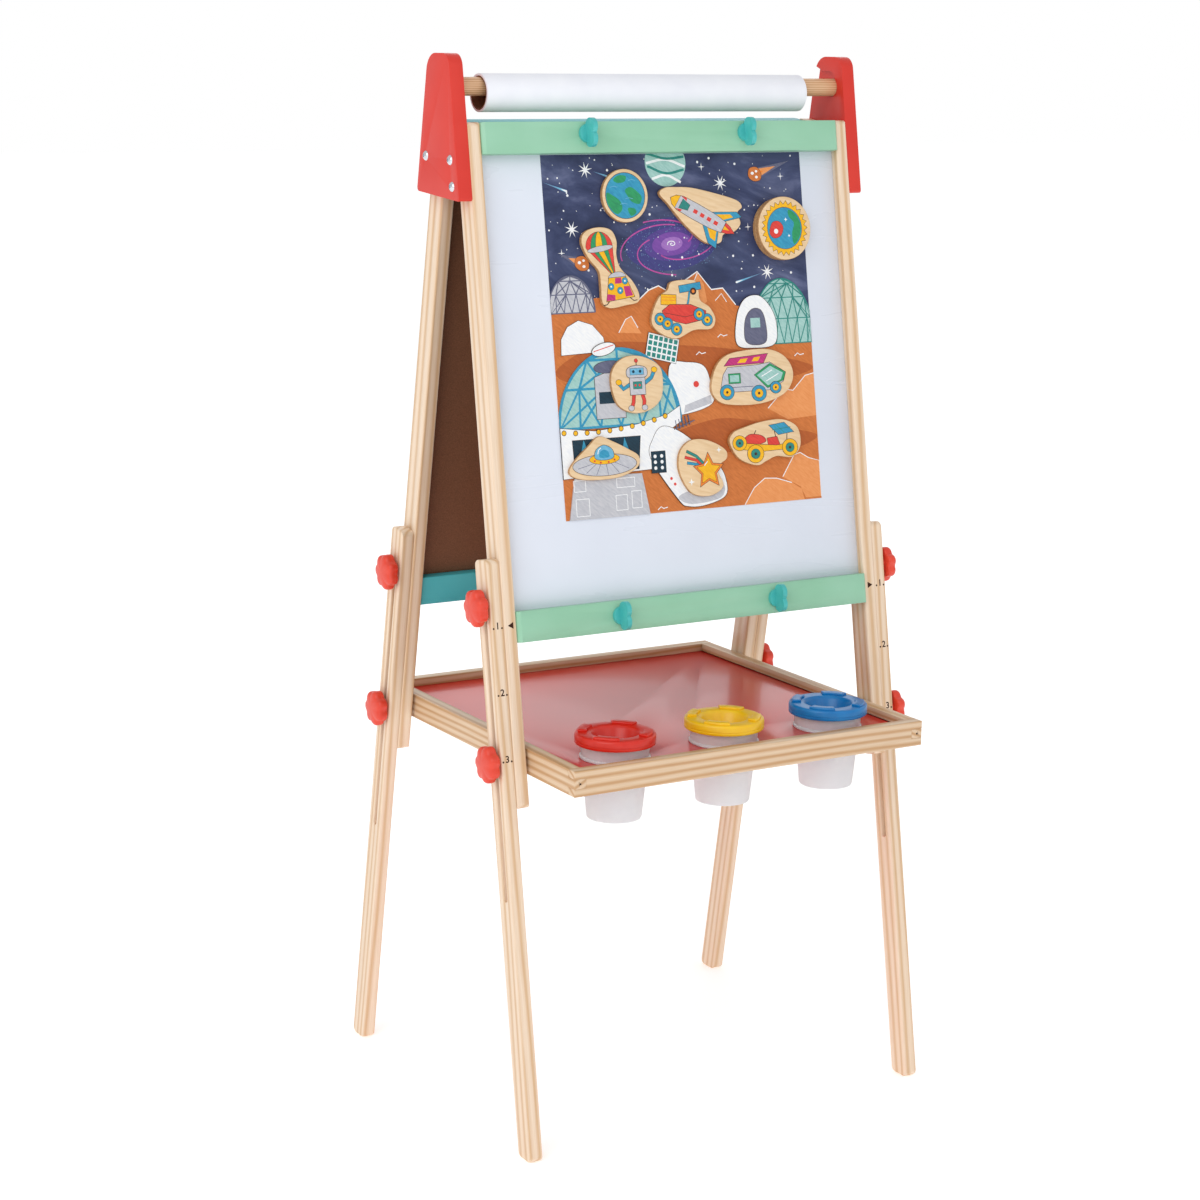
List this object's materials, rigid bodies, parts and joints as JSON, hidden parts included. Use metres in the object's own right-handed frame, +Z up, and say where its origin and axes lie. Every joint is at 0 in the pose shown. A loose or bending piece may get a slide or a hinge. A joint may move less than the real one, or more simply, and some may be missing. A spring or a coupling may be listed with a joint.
{
  "type": "kids easel",
  "caption": "Folding two-sided wooden kids easel with whiteboard, chalkboard, paper roll, paint cup tray and sliding legs.",
  "frame": {"origin": "on the floor, under the middle of the easel's bounding box", "axes": "+X to the right seen from the whiteboard side, +Y from the whiteboard side to the chalkboard side, +Z up"},
  "size_m": [0.514, 0.4368, 1.087],
  "materials": {
    "red_paint": "red lacquer on wood, satin",
    "mint_paint": "mint green paint on wood, satin",
    "teal_paint": "teal paint on wood, satin",
    "pine": "clear lacquered pine",
    "beech_rod": "turned wooden dowel, clear lacquer",
    "whiteboard_face": "glossy white dry-wipe face on steel-backed board",
    "hardboard": "brown hardboard, black chalk face on its outer side",
    "tray_red": "glossy red painted board",
    "knob_red": "moulded red plastic",
    "clip_teal": "moulded teal plastic",
    "steel": "zinc plated steel",
    "brass": "brass insert",
    "frosted_cup": "frosted clear plastic",
    "lid_red": "moulded red plastic",
    "lid_yellow": "moulded yellow plastic",
    "lid_blue": "moulded blue plastic",
    "roll_paper": "white drawing paper",
    "core_card": "brown cardboard tube",
    "poster_print": "printed paper poster",
    "token_wood": "plywood with a printed face"
  },
  "bodies": {
    "front_frame": {"left_bracket": "red_paint", "right_bracket": "red_paint", "front_left_post": "pine", "front_right_post": "pine", "front_top_rail": "mint_paint", "front_bottom_rail": "mint_paint", "whiteboard": "whiteboard_face", "poster": "poster_print", "bracket_screws": "steel", "front_inserts": "brass", "pivot_screws": "steel"},
    "rear_frame": {"rear_left_post": "pine", "rear_right_post": "pine", "rear_top_rail": "teal_paint", "rear_bottom_rail": "teal_paint", "chalkboard": "hardboard", "rear_inserts": "brass"},
    "front_left_leg": {"front_left_leg": "pine"},
    "front_left_upper_knob": {"front_left_upper_knob": "knob_red"},
    "front_left_lower_knob": {"front_left_lower_knob": "knob_red"},
    "front_right_leg": {"front_right_leg": "pine"},
    "front_right_upper_knob": {"front_right_upper_knob": "knob_red"},
    "front_right_lower_knob": {"front_right_lower_knob": "knob_red"},
    "rear_left_leg": {"rear_left_leg": "pine"},
    "rear_left_upper_knob": {"rear_left_upper_knob": "knob_red"},
    "rear_left_lower_knob": {"rear_left_lower_knob": "knob_red"},
    "rear_right_leg": {"rear_right_leg": "pine"},
    "rear_right_upper_knob": {"rear_right_upper_knob": "knob_red"},
    "rear_right_lower_knob": {"rear_right_lower_knob": "knob_red"},
    "top_left_clip": {"top_left_clip": "clip_teal"},
    "top_right_clip": {"top_right_clip": "clip_teal"},
    "bottom_left_clip": {"bottom_left_clip": "clip_teal"},
    "bottom_right_clip": {"bottom_right_clip": "clip_teal"},
    "tray": {"tray_front_rail": "pine", "tray_rear_rail": "pine", "tray_left_rail": "pine", "tray_right_rail": "pine", "tray_panel": "tray_red", "tray_inserts": "brass"},
    "red_cup": {"red_cup": "frosted_cup"},
    "red_lid": {"red_lid": "lid_red"},
    "yellow_cup": {"yellow_cup": "frosted_cup"},
    "yellow_lid": {"yellow_lid": "lid_yellow"},
    "blue_cup": {"blue_cup": "frosted_cup"},
    "blue_lid": {"blue_lid": "lid_blue"},
    "rod": {"roll_rod": "beech_rod"},
    "roll": {"roll_core": "core_card", "paper_roll": "roll_paper"},
    "planet_token": {"planet_token": "token_wood"},
    "rocket_token": {"rocket_token": "token_wood"},
    "sun_token": {"sun_token": "token_wood"},
    "capsule_token": {"capsule_token": "token_wood"},
    "rover_token": {"rover_token": "token_wood"},
    "robot_token": {"robot_token": "token_wood"},
    "saucer_token": {"saucer_token": "token_wood"},
    "camper_token": {"camper_token": "token_wood"},
    "buggy_token": {"buggy_token": "token_wood"},
    "star_token": {"star_token": "token_wood"}
  },
  "joints": [
    {"name": "rear_fold", "type": "hinge", "parent": "front_frame", "child": "rear_frame", "pos_m": [0, 0.03746, 0.98646], "axis": [-1, 0, 0], "range_deg": [0, 19.3]},
    {"name": "front_left_leg_slide", "type": "slide", "parent": "front_frame", "child": "front_left_leg", "axis": [0, 0.1676, 0.9859], "range_m": [0, 0.133]},
    {"name": "front_left_upper_turn", "type": "hinge", "parent": "front_frame", "child": "front_left_upper_knob", "pos_m": [-0.241, -0.08832, 0.55071], "axis": [-1, 0, 0], "continuous": true},
    {"name": "front_left_lower_turn", "type": "hinge", "parent": "front_frame", "child": "front_left_lower_knob", "pos_m": [-0.241, -0.11446, 0.39692], "axis": [-1, 0, 0], "continuous": true},
    {"name": "front_right_leg_slide", "type": "slide", "parent": "front_frame", "child": "front_right_leg", "axis": [0, 0.1676, 0.9859], "range_m": [0, 0.133]},
    {"name": "front_right_upper_turn", "type": "hinge", "parent": "front_frame", "child": "front_right_upper_knob", "pos_m": [0.241, -0.08832, 0.55071], "axis": [1, 0, 0], "continuous": true},
    {"name": "front_right_lower_turn", "type": "hinge", "parent": "front_frame", "child": "front_right_lower_knob", "pos_m": [0.241, -0.11446, 0.39692], "axis": [1, 0, 0], "continuous": true},
    {"name": "rear_left_leg_slide", "type": "slide", "parent": "rear_frame", "child": "rear_left_leg", "axis": [0, -0.1676, 0.9859], "range_m": [0, 0.133]},
    {"name": "rear_left_upper_turn", "type": "hinge", "parent": "rear_frame", "child": "rear_left_upper_knob", "pos_m": [-0.241, 0.11155, 0.55071], "axis": [-1, 0, 0], "continuous": true},
    {"name": "rear_left_lower_turn", "type": "hinge", "parent": "rear_frame", "child": "rear_left_lower_knob", "pos_m": [-0.241, 0.1377, 0.39692], "axis": [-1, 0, 0], "continuous": true},
    {"name": "rear_right_leg_slide", "type": "slide", "parent": "rear_frame", "child": "rear_right_leg", "axis": [0, -0.1676, 0.9859], "range_m": [0, 0.133]},
    {"name": "rear_right_upper_turn", "type": "hinge", "parent": "rear_frame", "child": "rear_right_upper_knob", "pos_m": [0.241, 0.11155, 0.55071], "axis": [1, 0, 0], "continuous": true},
    {"name": "rear_right_lower_turn", "type": "hinge", "parent": "rear_frame", "child": "rear_right_lower_knob", "pos_m": [0.241, 0.1377, 0.39692], "axis": [1, 0, 0], "continuous": true},
    {"name": "top_left_clip_turn", "type": "hinge", "parent": "front_frame", "child": "top_left_clip", "pos_m": [-0.095, -0.0285, 1.00985], "axis": [0, -0.9859, 0.1676], "range_deg": [-90, 90]},
    {"name": "top_right_clip_turn", "type": "hinge", "parent": "front_frame", "child": "top_right_clip", "pos_m": [0.095, -0.0285, 1.00985], "axis": [0, -0.9859, 0.1676], "range_deg": [-90, 90]},
    {"name": "bottom_left_clip_turn", "type": "hinge", "parent": "front_frame", "child": "bottom_left_clip", "pos_m": [-0.095, -0.10975, 0.53204], "axis": [0, -0.9859, 0.1676], "range_deg": [-90, 90]},
    {"name": "bottom_right_clip_turn", "type": "hinge", "parent": "front_frame", "child": "bottom_right_clip", "pos_m": [0.095, -0.10975, 0.53204], "axis": [0, -0.9859, 0.1676], "range_deg": [-90, 90]},
    {"name": "tray_drop", "type": "hinge", "parent": "front_frame", "child": "tray", "pos_m": [0, -0.11446, 0.39692], "axis": [-1, 0, 0], "range_deg": [0, 80]},
    {"name": "red_cup_lift", "type": "slide", "parent": "tray", "child": "red_cup", "axis": [0, 0, 1], "range_m": [0, 0.066]},
    {"name": "red_lid_lift", "type": "slide", "parent": "red_cup", "child": "red_lid", "axis": [0, 0, 1], "range_m": [0, 0.066]},
    {"name": "yellow_cup_lift", "type": "slide", "parent": "tray", "child": "yellow_cup", "axis": [0, 0, 1], "range_m": [0, 0.066]},
    {"name": "yellow_lid_lift", "type": "slide", "parent": "yellow_cup", "child": "yellow_lid", "axis": [0, 0, 1], "range_m": [0, 0.066]},
    {"name": "blue_cup_lift", "type": "slide", "parent": "tray", "child": "blue_cup", "axis": [0, 0, 1], "range_m": [0, 0.066]},
    {"name": "blue_lid_lift", "type": "slide", "parent": "blue_cup", "child": "blue_lid", "axis": [0, 0, 1], "range_m": [0, 0.066]},
    {"name": "rod_lift", "type": "slide", "parent": "front_frame", "child": "rod", "axis": [0, 0.9336, 0.3584], "range_m": [0, 0.07]},
    {"name": "roll_spin", "type": "hinge", "parent": "rod", "child": "roll", "pos_m": [-0.009, 0.00522, 1.0488], "axis": [1, 0, 0], "continuous": true},
    {"name": "planet_token_pull", "type": "slide", "parent": "front_frame", "child": "planet_token", "axis": [0, -0.9859, 0.1676], "range_m": [0, 0.03]},
    {"name": "rocket_token_pull", "type": "slide", "parent": "front_frame", "child": "rocket_token", "axis": [0, -0.9859, 0.1676], "range_m": [0, 0.03]},
    {"name": "sun_token_pull", "type": "slide", "parent": "front_frame", "child": "sun_token", "axis": [0, -0.9859, 0.1676], "range_m": [0, 0.03]},
    {"name": "capsule_token_pull", "type": "slide", "parent": "front_frame", "child": "capsule_token", "axis": [0, -0.9859, 0.1676], "range_m": [0, 0.03]},
    {"name": "rover_token_pull", "type": "slide", "parent": "front_frame", "child": "rover_token", "axis": [0, -0.9859, 0.1676], "range_m": [0, 0.03]},
    {"name": "robot_token_pull", "type": "slide", "parent": "front_frame", "child": "robot_token", "axis": [0, -0.9859, 0.1676], "range_m": [0, 0.03]},
    {"name": "saucer_token_pull", "type": "slide", "parent": "front_frame", "child": "saucer_token", "axis": [0, -0.9859, 0.1676], "range_m": [0, 0.03]},
    {"name": "camper_token_pull", "type": "slide", "parent": "front_frame", "child": "camper_token", "axis": [0, -0.9859, 0.1676], "range_m": [0, 0.03]},
    {"name": "buggy_token_pull", "type": "slide", "parent": "front_frame", "child": "buggy_token", "axis": [0, -0.9859, 0.1676], "range_m": [0, 0.03]},
    {"name": "star_token_pull", "type": "slide", "parent": "front_frame", "child": "star_token", "axis": [0, -0.9859, 0.1676], "range_m": [0, 0.03]}
  ]
}
